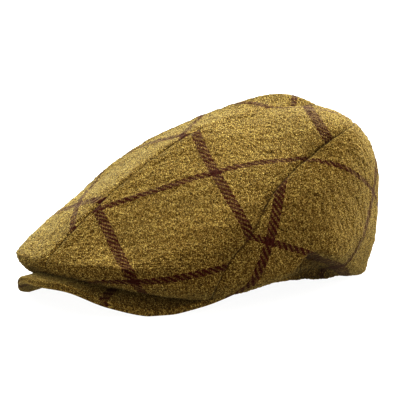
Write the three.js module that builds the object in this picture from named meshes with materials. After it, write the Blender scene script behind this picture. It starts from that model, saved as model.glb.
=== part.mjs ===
// Flat cap in millimetres. +Z is up, the peak points along -Y and the wearer's left is +X.
// The cloth shell is worked out in polar sections about an upright axis, from a table with one
// row for each direction, and the top sheet from a table with one row for each place along the
// centre seam. Each panel is a closed sheet of cloth with a small gap at every seam.
import * as THREE from "three";

const clothThick = 2.2;
const seamGap = 0.3;
const restBand = 0.25;
const axisY = 10;
const frameShift = 2.3;
const seamSoft = 9;
const poufWidth = 20;
const shoulderDrop = 0.55;
const topShare = 0.55;
const wideShare = 0.8;

// One row for each direction round the crown, in degrees from the front:
// radius and height of the widest ring, radius where the top sheet ends, how full the
// shoulder is, radius and height of the lower edge, and how much lower the right side lies.
const stations = [
  { ang: 0, wideR: 146.5, wideZ: 30.4, shldR: 124, full: 0.75, rimR: 135, rimZ: 21.5, dropR: 0 },
  { ang: 20, wideR: 142, wideZ: 33, shldR: 114, full: 0.75, rimR: 127, rimZ: 17, dropR: 3 },
  { ang: 40, wideR: 125, wideZ: 24, shldR: 98, full: 0.75, rimR: 107, rimZ: 9.5, dropR: 0 },
  { ang: 60, wideR: 111, wideZ: 26, shldR: 86, full: 0.75, rimR: 95.3, rimZ: 11.2, dropR: 0 },
  { ang: 75, wideR: 106, wideZ: 32, shldR: 80, full: 0.75, rimR: 89, rimZ: 14.2, dropR: 0 },
  { ang: 90, wideR: 105, wideZ: 40, shldR: 78, full: 0.75, rimR: 94, rimZ: 14, dropR: 0 },
  { ang: 110, wideR: 107, wideZ: 50, shldR: 80, full: 0.72, rimR: 93, rimZ: 9, dropR: 0 },
  { ang: 135, wideR: 112.5, wideZ: 70, shldR: 82, full: 0.71, rimR: 97, rimZ: 4, dropR: 0 },
  { ang: 147, wideR: 116.5, wideZ: 69, shldR: 80, full: 0.63, rimR: 106, rimZ: 1, dropR: 0 },
  { ang: 160, wideR: 120.5, wideZ: 55, shldR: 86, full: 0.61, rimR: 118, rimZ: 0, dropR: 0 },
  { ang: 180, wideR: 129, wideZ: 62, shldR: 88, full: 0.66, rimR: 115, rimZ: 0, dropR: 0 },
];

// One row for each place along the centre seam, front to back: height of the seam, how
// steeply the sheet falls from it, how far each side swells above it, and how much it bows.
const topRows = [
  { y: -145, seamZ: 25, roof: 0.28, poufL: 0, poufR: 0, bowL: 0.0022, bowR: 0.0022 },
  { y: -120, seamZ: 44, roof: 0.32, poufL: 0, poufR: 0, bowL: 0.0018, bowR: 0.0018 },
  { y: -90, seamZ: 66, roof: 0.34, poufL: 0, poufR: 0, bowL: 0.0014, bowR: 0.0012 },
  { y: -50, seamZ: 88, roof: 0.32, poufL: 0, poufR: 0, bowL: 0.0011, bowR: 0.0016 },
  { y: -10, seamZ: 105, roof: 0.26, poufL: 0, poufR: 0, bowL: 0.001, bowR: 0.0014 },
  { y: 25, seamZ: 112.5, roof: 0.15, poufL: 0, poufR: 0, bowL: 0.001, bowR: 0.0016 },
  { y: 60, seamZ: 116.2, roof: 0, poufL: 3, poufR: 2.5, bowL: 0.0013, bowR: 0.0028 },
  { y: 95, seamZ: 115.8, roof: 0, poufL: 2.5, poufR: 11.6, bowL: 0.0016, bowR: 0.0029 },
  { y: 120, seamZ: 113.5, roof: 0, poufL: 0, poufR: 20, bowL: 0.0018, bowR: 0.00195 },
  { y: 145, seamZ: 84, roof: 0, poufL: 0, poufR: 3, bowL: 0.0018, bowR: 0.0018 },
];

// The side seam, from the lower edge beside the peak up to the back: direction, and the share
// of the way from the top of the cap to its lower edge.
const sideSeam = [
  { s: 0, ang: 47, share: 1 },
  { s: 0.07, ang: 49, share: 0.835 },
  { s: 0.14, ang: 53, share: 0.745 },
  { s: 0.24, ang: 60.5, share: 0.685 },
  { s: 0.34, ang: 70, share: 0.61 },
  { s: 0.46, ang: 84, share: 0.572 },
  { s: 0.6, ang: 104, share: 0.568 },
  { s: 0.74, ang: 124, share: 0.607 },
  { s: 0.86, ang: 148, share: 0.63 },
  { s: 1, ang: 180, share: 0.635 },
];

// The tuck low on the rear sides: place, how far it reaches and how deep it is on each side.
const tucks = [
  { ang: 108, share: 0.925, reachAng: 26, reachShare: 0.05, deepL: 5, deepR: 3 },
  { ang: 78, share: 0.9, reachAng: 9, reachShare: 0.06, deepL: -2.5, deepR: -1 },
  { ang: 143, share: 0.9, reachAng: 12, reachShare: 0.06, deepL: -2.5, deepR: -1.5 },
];

// The peak, one row for each direction round it from the front: outer edge and the height of
// its underside, then inner edge and the height of its top, and how much lower the outer
// edge hangs on the right. Below zero it lies flat.
const peakRows = [
  { turn: 0, outX: 0, outY: -143.4, lowZ: 15.9, inX: 0, inY: -70, topZ: 22, dropR: 0 },
  { turn: 20, outX: 25.3, outY: -138, lowZ: 15.1, inX: 24, inY: -68, topZ: 19.5, dropR: 1.6 },
  { turn: 40, outX: 46.8, outY: -122.5, lowZ: 6.5, inX: 42, inY: -64, topZ: 22, dropR: 3.3 },
  { turn: 60, outX: 61.9, outY: -93.5, lowZ: -0.5, inX: 58, inY: -56, topZ: 17, dropR: 1 },
  { turn: 75, outX: 73.4, outY: -67, lowZ: 3.1, inX: 68, inY: -48, topZ: 13.5, dropR: 0 },
  { turn: 90, outX: 79.6, outY: -45, lowZ: 6.5, inX: 72, inY: -42, topZ: 11.5, dropR: 0 },
];
const peakThick = 5.2;
const peakBow = -1.6;
const endTaper = 0.5;

const topSteps = { along: 26, across: 15 };
const bandSteps = { along: topSteps.along + topSteps.across, across: 8 };
const peakSteps = { along: 30, across: 7, edge: 4 };

const clothColour = "#74602f";

// Smooth curve through a table: the slope at each row comes from its two neighbours.
function rowSlope(rows, key, column, i) {
  const last = rows.length - 1;
  const rise = (a, b) => (rows[b][column] - rows[a][column]) / (rows[b][key] - rows[a][key]);
  if (i === 0) {
    return rise(0, 1);
  }
  if (i === last) {
    return rise(last - 1, last);
  }
  const before = rows[i][key] - rows[i - 1][key];
  const after = rows[i + 1][key] - rows[i][key];
  return (rise(i - 1, i) * after + rise(i, i + 1) * before) / (before + after);
}

function along(rows, key, column, at, levelEnds = false) {
  const last = rows.length - 1;
  const x = Math.min(Math.max(at, rows[0][key]), rows[last][key]);
  let i = 0;
  while (i < last - 1 && x > rows[i + 1][key]) {
    i += 1;
  }
  const width = rows[i + 1][key] - rows[i][key];
  const f = (x - rows[i][key]) / width;
  const level = (k) => levelEnds && (k === 0 || k === last);
  const m0 = level(i) ? 0 : rowSlope(rows, key, column, i) * width;
  const m1 = level(i + 1) ? 0 : rowSlope(rows, key, column, i + 1) * width;
  const f2 = f * f;
  const f3 = f2 * f;
  const start = (2 * f3 - 3 * f2 + 1) * rows[i][column] + (f3 - 2 * f2 + f) * m0;
  const end = (3 * f2 - 2 * f3) * rows[i + 1][column] + (f3 - f2) * m1;
  return start + end;
}

function bezier(a, b, c, d, f) {
  const g = 1 - f;
  return g * g * g * a + 3 * g * g * f * b + 3 * g * f * f * c + f * f * f * d;
}

function topHeight(x, y, side) {
  const away = Math.abs(x);
  const pouf = along(topRows, "y", side > 0 ? "poufL" : "poufR", y);
  const bow = along(topRows, "y", side > 0 ? "bowL" : "bowR", y);
  const fall = Math.sqrt(away * away + seamSoft * seamSoft) - seamSoft;
  const swell = 1 - Math.exp(-Math.pow(away / poufWidth, 1.3));
  const roofed = along(topRows, "y", "seamZ", y) - along(topRows, "y", "roof", y) * fall;
  return roofed + pouf * swell - bow * away * away;
}

// A point on the outer face: direction in degrees and share of the way from top to lower edge.
function shellPoint(ang, share, side) {
  const turn = THREE.MathUtils.degToRad(ang);
  const sx = Math.sin(turn);
  const sy = -Math.cos(turn);
  const col = (name) => along(stations, "ang", name, ang, true);
  const shldR = col("shldR");
  const lower = side > 0 ? 0 : col("dropR");
  const sheet = (r) => topHeight(r * sx, axisY + r * sy, side);
  let r = (shldR * share) / topShare;
  let z = 0;
  if (share <= topShare) {
    z = sheet(r);
  } else {
    const wideR = col("wideR");
    const wideZ = col("wideZ") - lower;
    if (share <= wideShare) {
      const shldZ = sheet(shldR);
      const slope = (sheet(shldR + 1) - sheet(shldR - 1)) / 2;
      const reach = col("full") * (wideR - shldR);
      const leanZ = shldZ + slope * reach;
      const drop = shoulderDrop * Math.abs(leanZ - wideZ);
      const f = (share - topShare) / (wideShare - topShare);
      r = bezier(shldR, shldR + reach, wideR, wideR, f);
      z = bezier(shldZ, leanZ, wideZ + drop, wideZ, f);
    } else {
      const rimR = col("rimR");
      const rimZ = col("rimZ") - lower;
      const fall = wideZ - rimZ;
      const f = (share - wideShare) / (1 - wideShare);
      r = bezier(wideR, wideR, rimR + 0.45 * (wideR - rimR), rimR, f);
      z = bezier(wideZ, wideZ - 0.55 * fall, rimZ + 0.12 * fall, rimZ, f);
    }
  }
  for (const tuck of tucks) {
    const a = (ang - tuck.ang) / tuck.reachAng;
    const b = (share - tuck.share) / tuck.reachShare;
    r -= (side > 0 ? tuck.deepL : tuck.deepR) * Math.exp(-a * a - b * b);
  }
  return new THREE.Vector3(side * r * sx, axisY + r * sy, Math.max(z, 0));
}

// The same face laid out on a flat disc: p to the side, q towards the back.
function discPoint(p, q, side) {
  const share = Math.min(Math.hypot(p, q), 1);
  const ang = THREE.MathUtils.radToDeg(Math.atan2(p, -q));
  return shellPoint(ang, share, side);
}

function faceNormal(p, q, side) {
  const step = 0.004;
  const keep = 1 - step;
  const inner = Math.hypot(p, q) > keep ? keep / Math.hypot(p, q) : 1;
  const p0 = Math.max(p * inner, 0);
  const q0 = q * inner;
  const here = discPoint(p0, q0, side);
  const out = discPoint(p0 + step, q0, side).sub(here);
  const back = discPoint(p0, q0 + step, side).sub(discPoint(p0, q0 - step, side));
  const normal = side > 0 ? out.cross(back) : back.cross(out);
  return normal.normalize();
}

function seamDisc(s) {
  const turn = THREE.MathUtils.degToRad(along(sideSeam, "s", "ang", s));
  const share = along(sideSeam, "s", "share", s);
  return { p: share * Math.sin(turn), q: -share * Math.cos(turn) };
}

function rimDisc(ang) {
  const turn = THREE.MathUtils.degToRad(ang);
  return { p: Math.sin(turn), q: -Math.cos(turn) };
}

function mix(a, b, f) {
  return { p: a.p + (b.p - a.p) * f, q: a.q + (b.q - a.q) * f };
}

// Four-sided patch of the disc filled in from its edges.
function patch(edges, u, v) {
  const ruledV = mix(edges.near(u), edges.far(u), v);
  const ruledU = mix(edges.start(v), edges.end(v), u);
  const corners = mix(mix(edges.near(0), edges.near(1), u), mix(edges.far(0), edges.far(1), u), v);
  return { p: ruledV.p + ruledU.p - corners.p, q: ruledV.q + ruledU.q - corners.q };
}

// The side seam runs along the top panel's far edge, turns its corner and closes its back end.
const seamTurn = topSteps.along / bandSteps.along;
const backQ = seamDisc(1).q;
const topEdges = {
  near: (u) => ({ p: 0, q: -1 + (1 + backQ) * u }),
  far: (u) => seamDisc(seamTurn * u),
  start: (v) => rimDisc(sideSeam[0].ang * v),
  end: (v) => seamDisc(1 - (1 - seamTurn) * v),
};

function rimAngle(u) {
  return sideSeam[0].ang + (180 - sideSeam[0].ang) * (0.3 * u * u + 0.7 * u);
}

function bandDisc(u, v) {
  const seam = seamDisc(u);
  const seamAng = THREE.MathUtils.radToDeg(Math.atan2(seam.p, -seam.q));
  const seamShare = Math.hypot(seam.p, seam.q);
  const ang = seamAng + (rimAngle(u) - seamAng) * v;
  const share = seamShare + (1 - seamShare) * v;
  const turn = THREE.MathUtils.degToRad(ang);
  return { p: share * Math.sin(turn), q: -share * Math.cos(turn) };
}

// Six times the volume that a closed set of faces holds, negative when they face inwards.
function heldVolume(spots, faces) {
  const [a, b, c] = [new THREE.Vector3(), new THREE.Vector3(), new THREE.Vector3()];
  let held = 0;
  for (let i = 0; i < faces.length; i += 3) {
    a.fromArray(spots, faces[i] * 3);
    b.fromArray(spots, faces[i + 1] * 3);
    c.fromArray(spots, faces[i + 2] * 3);
    held += a.dot(b.cross(c));
  }
  return held;
}

function solidGeometry(spots, faces) {
  if (heldVolume(spots, faces) < 0) {
    faces.reverse();
  }
  const geometry = new THREE.BufferGeometry();
  geometry.setAttribute("position", new THREE.Float32BufferAttribute(spots, 3));
  geometry.setIndex(faces);
  geometry.translate(0, frameShift, 0);
  geometry.computeVertexNormals();
  return geometry;
}

// Closes a grid of outer and inner points into one solid sheet.
function closedSheet(outer, inner) {
  const keys = new Map();
  const spots = [];
  const faces = [];
  const spotOf = (v) => {
    const key = [v.x, v.y, v.z].map((n) => n.toFixed(4)).join(",");
    if (!keys.has(key)) {
      keys.set(key, spots.length / 3);
      spots.push(v.x, v.y, v.z);
    }
    return keys.get(key);
  };
  const tri = (a, b, c) => {
    const [i, j, k] = [spotOf(a), spotOf(b), spotOf(c)];
    if (i === j || j === k || i === k) {
      return;
    }
    faces.push(i, j, k);
  };
  const quad = (a, b, c, d) => {
    if (a.distanceTo(c) <= b.distanceTo(d)) {
      tri(a, b, c);
      tri(a, c, d);
    } else {
      tri(a, b, d);
      tri(b, c, d);
    }
  };
  const rows = outer.length - 1;
  const cols = outer[0].length - 1;
  for (let i = 0; i < rows; i += 1) {
    for (let j = 0; j < cols; j += 1) {
      quad(outer[i][j], outer[i + 1][j], outer[i + 1][j + 1], outer[i][j + 1]);
      quad(inner[i][j], inner[i][j + 1], inner[i + 1][j + 1], inner[i + 1][j]);
    }
  }
  for (let i = 0; i < rows; i += 1) {
    quad(outer[i][0], inner[i][0], inner[i + 1][0], outer[i + 1][0]);
    quad(outer[i + 1][cols], inner[i + 1][cols], inner[i][cols], outer[i][cols]);
  }
  for (let j = 0; j < cols; j += 1) {
    quad(outer[0][j + 1], inner[0][j + 1], inner[0][j], outer[0][j]);
    quad(outer[rows][j], inner[rows][j], inner[rows][j + 1], outer[rows][j + 1]);
  }
  return solidGeometry(spots, faces);
}

// Direction across the side seam on the outer face, from the top panel towards the band.
function acrossSeam(s, side) {
  const step = 0.01;
  const spot = seamDisc(s);
  const before = seamDisc(Math.max(s - step, 0));
  const after = seamDisc(Math.min(s + step, 1));
  const run = discPoint(after.p, after.q, side).sub(discPoint(before.p, before.q, side));
  const across = faceNormal(spot.p, spot.q, side).cross(run).normalize();
  return across.multiplyScalar(-side);
}

function panelGeometry(discAt, steps, side, seamAt) {
  const outer = [];
  const inner = [];
  for (let i = 0; i <= steps.along; i += 1) {
    const outerRow = [];
    const innerRow = [];
    for (let j = 0; j <= steps.across; j += 1) {
      const u = i / steps.along;
      const v = j / steps.across;
      const spot = discAt(u, v);
      const p = Math.max(spot.p, 0);
      const point = discPoint(p, spot.q, side);
      const normal = faceNormal(p, spot.q, side);
      if (p < 1e-6) {
        normal.setX(0).normalize();
      }
      const below = point.clone().addScaledVector(normal, -clothThick);
      if (point.z < restBand && Math.hypot(spot.p, spot.q) > 0.999) {
        point.z = 0;
        below.z = 0;
      }
      const seam = seamAt(u, v);
      const shift = new THREE.Vector3();
      if (seam) {
        shift.copy(acrossSeam(seam.s, side)).multiplyScalar((seam.way * seamGap) / 2);
      }
      for (const [from, row] of [[point, outerRow], [below, innerRow]]) {
        const moved = from.clone().add(shift);
        moved.x = side * Math.max(side * moved.x, seamGap / 2);
        moved.z = Math.max(moved.z, 0);
        row.push(moved);
      }
    }
    outer.push(outerRow);
    inner.push(innerRow);
  }
  return closedSheet(outer, inner);
}

function topSeam(u, v) {
  if (v > 0.999) {
    return { s: seamTurn * u, way: -1 };
  }
  return u > 0.999 ? { s: 1 - (1 - seamTurn) * v, way: -1 } : null;
}

function bandSeam(u, v) {
  return v < 0.001 || u < 0.001 ? { s: u, way: 1 } : null;
}

// Value from the peak's table: the two sides are alike but for the lower right edge.
function peakValue(column, turn) {
  const odd = column === "outX" || column === "inX";
  const value = along(peakRows, "turn", column, Math.abs(turn), !odd);
  if (odd) {
    return Math.sign(turn) * value;
  }
  const lower = column === "lowZ" && turn < 0;
  return lower ? value - along(peakRows, "turn", "dropR", -turn, true) : value;
}

function peakLoop(turn) {
  const at = (name) => peakValue(name, turn);
  const thick = peakThick * (1 - endTaper * Math.pow(Math.abs(turn) / 90, 8));
  const half = thick / 2;
  const outer = new THREE.Vector3(at("outX"), at("outY"), at("lowZ") + peakThick - thick);
  const inner = new THREE.Vector3(at("inX"), at("inY"), at("topZ") - thick);
  const outward = new THREE.Vector3().subVectors(outer, inner).setZ(0).normalize();
  const loop = [];
  const low = (f) => {
    const spot = new THREE.Vector3().lerpVectors(inner, outer, f);
    spot.addScaledVector(outward, -half * f);
    spot.z += peakBow * 4 * f * (1 - f);
    return spot;
  };
  for (let j = 0; j <= peakSteps.across; j += 1) {
    const spot = low(j / peakSteps.across);
    spot.z += thick;
    loop.push(spot);
  }
  for (let k = 1; k < peakSteps.edge; k += 1) {
    const bend = (Math.PI * k) / peakSteps.edge;
    const spot = low(1);
    spot.addScaledVector(outward, half * Math.sin(bend));
    spot.z += half + half * Math.cos(bend);
    loop.push(spot);
  }
  for (let j = peakSteps.across; j >= 0; j -= 1) {
    loop.push(low(j / peakSteps.across));
  }
  return loop;
}

function peakGeometry() {
  const loops = [];
  for (let i = 0; i <= peakSteps.along; i += 1) {
    loops.push(peakLoop(-90 + (180 * i) / peakSteps.along));
  }
  const spots = [];
  const faces = [];
  const size = loops[0].length;
  for (const loop of loops) {
    for (const v of loop) {
      spots.push(v.x, v.y, Math.max(v.z, 0));
    }
  }
  const last = loops.length - 1;
  for (let i = 0; i < last; i += 1) {
    for (let j = 0; j < size; j += 1) {
      const k = (j + 1) % size;
      const [a, b, c, d] = [i * size + j, (i + 1) * size + j, (i + 1) * size + k, i * size + k];
      faces.push(a, c, b, a, d, c);
    }
  }
  // The two rear tips are closed across, from the top line of the loop to the bottom line.
  const stack = last * size;
  for (let j = 0; j < Math.floor(size / 2); j += 1) {
    const [a, b, c, d] = [j, j + 1, size - 2 - j, size - 1 - j];
    faces.push(a, d, b, stack + a, stack + b, stack + d);
    if (b < c) {
      faces.push(b, d, c, stack + b, stack + c, stack + d);
    }
  }
  return solidGeometry(spots, faces);
}

function clothMesh(name, geometry) {
  const material = new THREE.MeshStandardMaterial({ color: clothColour, roughness: 0.95, metalness: 0 });
  material.name = `wool_${name}`;
  const mesh = new THREE.Mesh(geometry, material);
  mesh.name = name;
  return mesh;
}

const cap = new THREE.Group();
cap.name = "flat_cap";
const crown = new THREE.Group();
crown.name = "crown";
const brim = new THREE.Group();
brim.name = "brim";

for (const [label, side] of [["left", 1], ["right", -1]]) {
  const top = panelGeometry((u, v) => patch(topEdges, u, v), topSteps, side, topSeam);
  crown.add(clothMesh(`crown_top_${label}`, top));
  const band = panelGeometry(bandDisc, bandSteps, side, bandSeam);
  crown.add(clothMesh(`side_band_${label}`, band));
}
brim.add(clothMesh("peak", peakGeometry()));
cap.add(crown, brim);

export default cap;
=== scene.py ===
import math
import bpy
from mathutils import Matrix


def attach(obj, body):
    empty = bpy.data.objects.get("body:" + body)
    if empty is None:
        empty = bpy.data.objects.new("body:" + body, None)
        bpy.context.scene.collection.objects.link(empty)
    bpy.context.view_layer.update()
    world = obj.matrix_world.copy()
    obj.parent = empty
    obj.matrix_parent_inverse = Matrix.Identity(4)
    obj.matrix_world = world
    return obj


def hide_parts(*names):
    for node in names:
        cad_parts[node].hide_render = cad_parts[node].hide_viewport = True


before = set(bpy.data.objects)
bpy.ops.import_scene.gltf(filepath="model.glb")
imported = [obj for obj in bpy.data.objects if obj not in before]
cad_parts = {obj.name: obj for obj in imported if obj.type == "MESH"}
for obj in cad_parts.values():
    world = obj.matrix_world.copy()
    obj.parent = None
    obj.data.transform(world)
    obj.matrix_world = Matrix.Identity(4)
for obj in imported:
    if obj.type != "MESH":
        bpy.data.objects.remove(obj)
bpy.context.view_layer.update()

from types import SimpleNamespace

import bmesh
import bpy
import mathutils
import numpy as np

print("frame loaded")

# The shape of the whole cap, in millimetres: +Z up, the peak towards -Y, the wearer's left +X.
capShape = {
    "axisY": 12.3,          # the upright axis that the directions turn about
    "frameShift": 2.3,      # how far back the places along the centre seam and the peak are set
    "seamSoft": 9.0,        # how round the ridge along the centre seam is
    "poufWidth": 20.0,      # how soon the top swells beside the seam
    "poufPower": 1.3,
    "shoulderDrop": 0.55,   # how the wall leaves the shoulder, against the height to the widest ring
    "wallDrop": 0.55,       # how straight the wall hangs below the widest ring
    "rimLift": 0.12,        # how it turns in to the lower edge
    "rimTurnIn": 0.45,
    "rimCrowd": 0.3,        # how much closer together the rows across the side band are near the peak
    "topShare": 0.55,       # share of the way down where the top sheet ends
    "wideShare": 0.8,       # share of the way down of the widest ring
    "clothThick": 2.2,
    # one row for each direction from the front, in degrees: the widest ring, where the top sheet
    # ends, how full the shoulder is, the lower edge, and how much lower the right side lies
    "directionColumns": ("direction", "wideR", "wideZ", "shoulderR", "fullness", "rimR", "rimZ",
                         "rightDrop"),
    "directionRows": [
        (0, 146.5, 30.4, 124, 0.75, 135, 21.5, 0),
        (20, 142, 33, 114, 0.75, 127, 17, 3),
        (40, 125, 24, 98, 0.75, 107, 9.5, 0),
        (60, 111, 26, 86, 0.75, 95.3, 11.2, 0),
        (75, 106, 32, 80, 0.75, 89, 14.2, 0),
        (90, 105, 40, 78, 0.75, 94, 14, 0),
        (110, 107, 50, 80, 0.72, 93, 9, 0),
        (135, 112.5, 70, 82, 0.71, 97, 4, 0),
        (147, 116.5, 69, 80, 0.63, 106, 1, 0),
        (160, 120.5, 55, 86, 0.61, 118, 0, 0),
        (180, 129, 62, 88, 0.66, 115, 0, 0),
    ],
    # one row for each place along the centre seam, front to back: how high it is, how steeply the
    # sheet falls from it, and how far it swells and bows down on each side
    "topColumns": ("y", "seamZ", "roof", "poufLeft", "poufRight", "bowLeft", "bowRight"),
    "topRows": [
        (-145, 25, 0.28, 0, 0, 0.0022, 0.0022),
        (-120, 44, 0.32, 0, 0, 0.0018, 0.0018),
        (-90, 66, 0.34, 0, 0, 0.0014, 0.0012),
        (-50, 88, 0.32, 0, 0, 0.0011, 0.0016),
        (-10, 105, 0.26, 0, 0, 0.001, 0.0014),
        (25, 112.5, 0.15, 0, 0, 0.001, 0.0016),
        (60, 116.2, 0, 3, 2.5, 0.0013, 0.0028),
        (95, 115.8, 0, 2.5, 11.6, 0.0016, 0.0029),
        (120, 113.5, 0, 0, 20, 0.0018, 0.00195),
        (145, 84, 0, 0, 3, 0.0018, 0.0018),
    ],
    # the side seam, from the lower edge beside the peak up and round to the back
    "seamColumns": ("along", "direction", "share"),
    "seamRows": [
        (0, 47, 1), (0.07, 49, 0.835), (0.14, 53, 0.745), (0.24, 60.5, 0.685),
        (0.34, 70, 0.61), (0.46, 84, 0.572), (0.6, 104, 0.568), (0.74, 124, 0.607),
        (0.86, 148, 0.63), (1, 180, 0.635),
    ],
    "seamTurn": 26 / 41,    # share of the side seam that is the top panel's long edge
    # broad tucks and swellings low on the rear sides: direction, share, how far each reaches both
    # ways, and how deep it is on the left and on the right
    "tuckRows": [
        (108, 0.925, 26, 0.05, 5, 3),
        (78, 0.9, 9, 0.06, -2.5, -1),
        (143, 0.9, 12, 0.06, -2.5, -1.5),
    ],
}


def smoothRows(columns, rows, name, at, levelEnds=False):
    # a smooth curve through one column of a table, against its first column
    keys = np.array([row[0] for row in rows], float)
    values = np.array([row[columns.index(name)] for row in rows], float)
    width = np.diff(keys)
    rise = np.diff(values) / width
    slope = np.empty(len(keys))
    slope[1:-1] = (rise[:-1] * width[1:] + rise[1:] * width[:-1]) / (width[:-1] + width[1:])
    slope[0], slope[-1] = (0, 0) if levelEnds else (rise[0], rise[-1])
    x = np.clip(np.asarray(at, float), keys[0], keys[-1])
    i = np.clip(np.searchsorted(keys, x, side="right") - 1, 0, len(width) - 1)
    f = (x - keys[i]) / width[i]
    start = (2 * f**3 - 3 * f**2 + 1) * values[i] + (f**3 - 2 * f**2 + f) * slope[i] * width[i]
    end = (3 * f**2 - 2 * f**3) * values[i + 1] + (f**3 - f**2) * slope[i + 1] * width[i]
    return start + end


def crownColumn(name, direction):
    return smoothRows(capShape["directionColumns"], capShape["directionRows"], name, direction, True)


def topColumn(name, y):
    return smoothRows(capShape["topColumns"], capShape["topRows"], name, y)


def bezier(a, b, c, d, f):
    g = 1 - f
    return g**3 * a + 3 * g * g * f * b + 3 * g * f * f * c + f**3 * d


def topHeight(x, y, side):
    # the top sheet as a height: it falls from the centre seam and swells beside it at the back
    away = np.abs(x)
    y = y - capShape["frameShift"]
    word = "Left" if side > 0 else "Right"
    fall = np.sqrt(away**2 + capShape["seamSoft"] ** 2) - capShape["seamSoft"]
    swell = 1 - np.exp(-((away / capShape["poufWidth"]) ** capShape["poufPower"]))
    return (topColumn("seamZ", y) - topColumn("roof", y) * fall
            + topColumn("pouf" + word, y) * swell - topColumn("bow" + word, y) * away**2)


def shellPoint(direction, share, side):
    # the outer face: direction in degrees from the front, share of the way from top to lower edge
    direction, share = np.broadcast_arrays(np.asarray(direction, float), np.asarray(share, float))
    turn = np.radians(direction)
    sx, sy = np.sin(turn), -np.cos(turn)
    axisY, topShare, wideShare = capShape["axisY"], capShape["topShare"], capShape["wideShare"]
    shoulderR = crownColumn("shoulderR", direction)
    wideR, wideZ = crownColumn("wideR", direction), crownColumn("wideZ", direction)
    rimR, rimZ = crownColumn("rimR", direction), crownColumn("rimZ", direction)
    drop = 0 if side > 0 else crownColumn("rightDrop", direction)
    wideZ, rimZ = wideZ - drop, rimZ - drop

    def sheet(r):
        return topHeight(r * sx, axisY + r * sy, side)

    shoulderZ = sheet(shoulderR)
    slope = (sheet(shoulderR + 1) - sheet(shoulderR - 1)) / 2
    reach = crownColumn("fullness", direction) * (wideR - shoulderR)
    leanZ = shoulderZ + slope * reach
    hang = capShape["shoulderDrop"] * np.abs(leanZ - wideZ)
    flatR = shoulderR * share / topShare
    f = np.clip((share - topShare) / (wideShare - topShare), 0, 1)
    roundR = bezier(shoulderR, shoulderR + reach, wideR, wideR, f)
    roundZ = bezier(shoulderZ, leanZ, wideZ + hang, wideZ, f)
    fall = wideZ - rimZ
    f = np.clip((share - wideShare) / (1 - wideShare), 0, 1)
    lowR = bezier(wideR, wideR, rimR + capShape["rimTurnIn"] * (wideR - rimR), rimR, f)
    lowZ = bezier(wideZ, wideZ - capShape["wallDrop"] * fall, rimZ + capShape["rimLift"] * fall, rimZ, f)
    r = np.where(share <= topShare, flatR, np.where(share <= wideShare, roundR, lowR))
    z = np.where(share <= topShare, sheet(np.minimum(flatR, shoulderR)),
                 np.where(share <= wideShare, roundZ, lowZ))
    for place, level, reachPlace, reachLevel, deepLeft, deepRight in capShape["tuckRows"]:
        a, b = (direction - place) / reachPlace, (share - level) / reachLevel
        r = r - (deepLeft if side > 0 else deepRight) * np.exp(-a * a - b * b)
    return np.stack([side * r * sx, axisY + r * sy, z], -1)


def discPoint(p, q, side):
    # the same face laid out on a flat disc, p to the side and q towards the back
    share = np.minimum(np.hypot(p, q), 1)
    return shellPoint(np.degrees(np.arctan2(p, -q)), share, side)


def discNormal(p, q, side):
    step = 0.003
    keep = np.minimum(1, (1 - step) / np.maximum(np.hypot(p, q), 1e-9))
    p, q = np.maximum(p * keep, 0), q * keep
    here = discPoint(p, q, side)
    out = discPoint(p + step, q, side) - here
    back = discPoint(p, q + step, side) - discPoint(p, q - step, side)
    normal = side * np.cross(out, back)
    return normal / np.linalg.norm(normal, axis=-1, keepdims=True)


def seamDisc(along):
    columns, rows = capShape["seamColumns"], capShape["seamRows"]
    turn = np.radians(smoothRows(columns, rows, "direction", along))
    share = smoothRows(columns, rows, "share", along)
    return np.stack([share * np.sin(turn), -share * np.cos(turn)], -1)


def rimDisc(direction):
    turn = np.radians(direction)
    return np.stack([np.sin(turn), -np.cos(turn)], -1)


def topPatch(u, v):
    # the top panel: centre seam at v 0, side seam at v 1, front edge at u 0, back end at u 1.
    # The front edge ends at the tip, which is where the side seam starts.
    turn, tip = capShape["seamTurn"], capShape["seamRows"][0][1]
    backQ = float(seamDisc(1.0)[1])

    def near(s):
        return np.stack([0 * s, -1 + (1 + backQ) * s], -1)

    def far(s):
        return seamDisc(turn * s)

    u1, v1 = u[..., None], v[..., None]
    zero, one = np.zeros_like(u), np.ones_like(u)
    ruled = near(u) * (1 - v1) + far(u) * v1
    across = rimDisc(tip * v) * (1 - u1) + seamDisc(1 - (1 - turn) * v) * u1
    low = near(zero) * (1 - u1) + near(one) * u1
    high = far(zero) * (1 - u1) + far(one) * u1
    return ruled + across - (low * (1 - v1) + high * v1)


def bandPatch(u, v):
    # the side band: side seam at v 0, hem at v 1, pointed end at u 0, centre back at u 1
    tip = capShape["seamRows"][0][1]
    seam = seamDisc(u)
    seamDirection = np.degrees(np.arctan2(seam[..., 0], -seam[..., 1]))
    seamShare = np.hypot(seam[..., 0], seam[..., 1])
    crowd = capShape["rimCrowd"]
    rimDirection = tip + (180 - tip) * (crowd * u * u + (1 - crowd) * u)
    turn = np.radians(seamDirection + (rimDirection - seamDirection) * v)
    share = seamShare + (1 - seamShare) * v
    return np.stack([share * np.sin(turn), -share * np.cos(turn)], -1)


def crossOf(a, b):
    return a[..., 0] * b[..., 1] - a[..., 1] * b[..., 0]


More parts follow.
